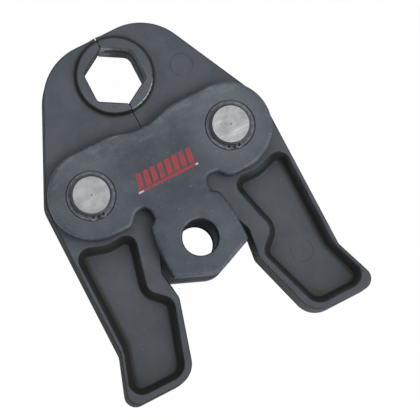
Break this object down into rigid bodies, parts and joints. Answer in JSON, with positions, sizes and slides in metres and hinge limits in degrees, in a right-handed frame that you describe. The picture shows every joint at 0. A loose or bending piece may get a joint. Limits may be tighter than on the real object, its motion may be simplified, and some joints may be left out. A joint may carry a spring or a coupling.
{
  "type": "press fitting tool jaw",
  "caption": "Press jaw: two forged arms with deep pockets turn on pins between T-shaped side plates and close a split hexagonal mouth round a pipe fitting",
  "frame": {"origin": "centre of the bore for the tool's pin, halfway through the jaw", "axes": "+Y from the tool end to the press mouth, +Z out of the front side plate along the pins, +X to the right arm; the jaw lies with its rear pin ends down"},
  "size_m": [0.1068, 0.1356, 0.0388],
  "materials": {
    "forged_steel": "black oxide on a forged surface",
    "plate_steel": "blue-grey phosphate on plate steel",
    "ground_steel": "ground",
    "ring_steel": "oiled spring steel",
    "spring_steel": "drawn spring wire"
  },
  "bodies": {
    "side_plates": {"front_side_plate": "plate_steel", "rear_side_plate": "plate_steel", "left_pivot_pin": "ground_steel", "right_pivot_pin": "ground_steel", "left_front_retaining_ring": "ring_steel", "right_front_retaining_ring": "ring_steel", "left_rear_retaining_ring": "ring_steel", "right_rear_retaining_ring": "ring_steel", "closing_spring": "spring_steel", "spring_post": "ground_steel", "upper_side_plate_spring": "spring_steel", "lower_side_plate_spring": "spring_steel"},
    "left_arm": {"left_jaw_arm": "forged_steel"},
    "right_arm": {"right_jaw_arm": "forged_steel"}
  },
  "joints": [
    {"name": "left_arm_pivot", "type": "hinge", "parent": "side_plates", "child": "left_arm", "pos_m": [-0.0305, 0.0336, 0], "axis": [0, 0, 1], "range_deg": [0, 15], "stiffness_Nm_per_rad": 0.8, "springref_deg": -28.65, "deforming": ["closing_spring"]},
    {"name": "right_arm_pivot", "type": "hinge", "parent": "side_plates", "child": "right_arm", "pos_m": [0.0305, 0.0336, 0], "axis": [0, 0, 1], "range_deg": [-15, 0], "stiffness_Nm_per_rad": 0.8, "springref_deg": 28.65, "deforming": ["closing_spring"]}
  ]
}
